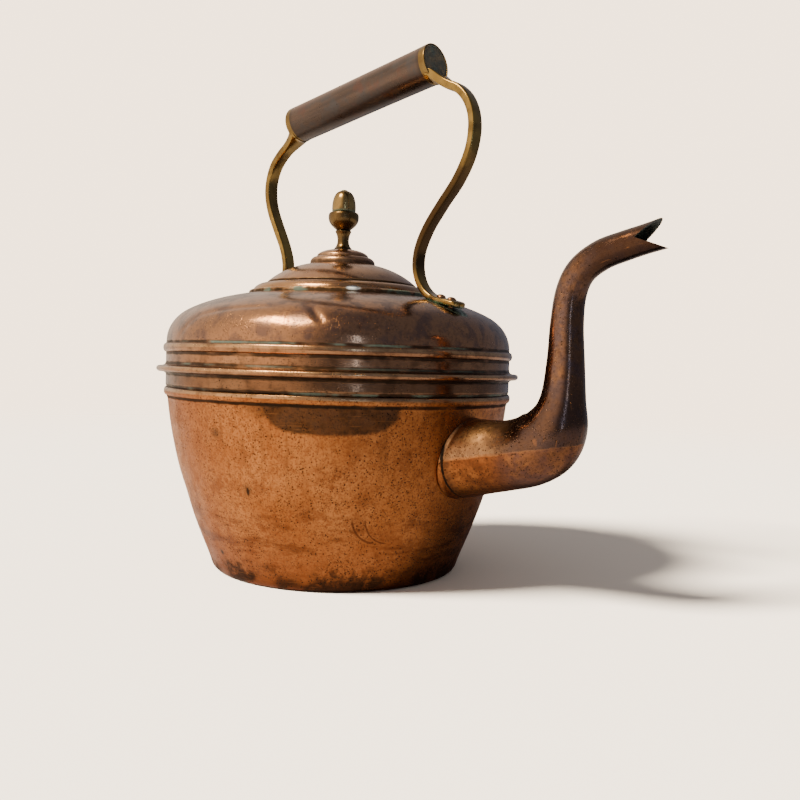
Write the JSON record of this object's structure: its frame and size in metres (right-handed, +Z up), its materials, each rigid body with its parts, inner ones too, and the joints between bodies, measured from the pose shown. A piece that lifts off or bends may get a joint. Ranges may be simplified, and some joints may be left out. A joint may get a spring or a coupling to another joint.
{
  "type": "stovetop kettle",
  "caption": "Round copper stovetop kettle with a tapered beaded body, swan-neck spout with a notched beak, riveted brass bail arms, tube grip and lift-off lid with an acorn finial.",
  "frame": {"origin": "centre of the flat underside of the base, on the body's axis", "axes": "+Z up along the body's axis, +X towards the spout, the handle and the spout both in the X-Z plane"},
  "size_m": [0.3425, 0.236, 0.3269],
  "materials": {
    "body_copper": "aged orange copper with pits, soot and a polished shoulder",
    "collar_copper": "polished aged copper with verdigris in the groove",
    "spout_copper": "aged copper, darker on the riser",
    "handle_brass": "aged brass, bright on the edges",
    "grip_copper": "dark purple-brown handled copper",
    "cap_brass": "aged brass band with a blackened end disc",
    "rivet_copper": "hammered copper",
    "lid_copper": "polished pink-brown copper",
    "finial_brass": "aged turned brass"
  },
  "bodies": {
    "kettle": {"base_plate": "body_copper", "body_lower": "body_copper", "body_upper": "body_copper", "lid_collar": "collar_copper", "spout": "spout_copper", "handle_arm_front": "handle_brass", "handle_arm_rear": "handle_brass", "grip_tube": "grip_copper", "grip_cap_front": "cap_brass", "grip_cap_rear": "cap_brass", "front_foot_rivets": "rivet_copper", "rear_foot_rivets": "rivet_copper", "front_rivet_roves": "rivet_copper", "rear_rivet_roves": "rivet_copper"},
    "lid": {"lid_dome": "lid_copper", "lid_skirt": "lid_copper", "lid_boss": "lid_copper", "finial_cup": "finial_brass", "finial_acorn": "finial_brass", "finial_stud": "finial_brass", "finial_washer": "finial_brass", "finial_nut": "finial_brass"}
  },
  "joints": [
    {"name": "lid_lift", "type": "slide", "parent": "kettle", "child": "lid", "axis": [0, 0, 1], "range_m": [0, 0.04]}
  ]
}
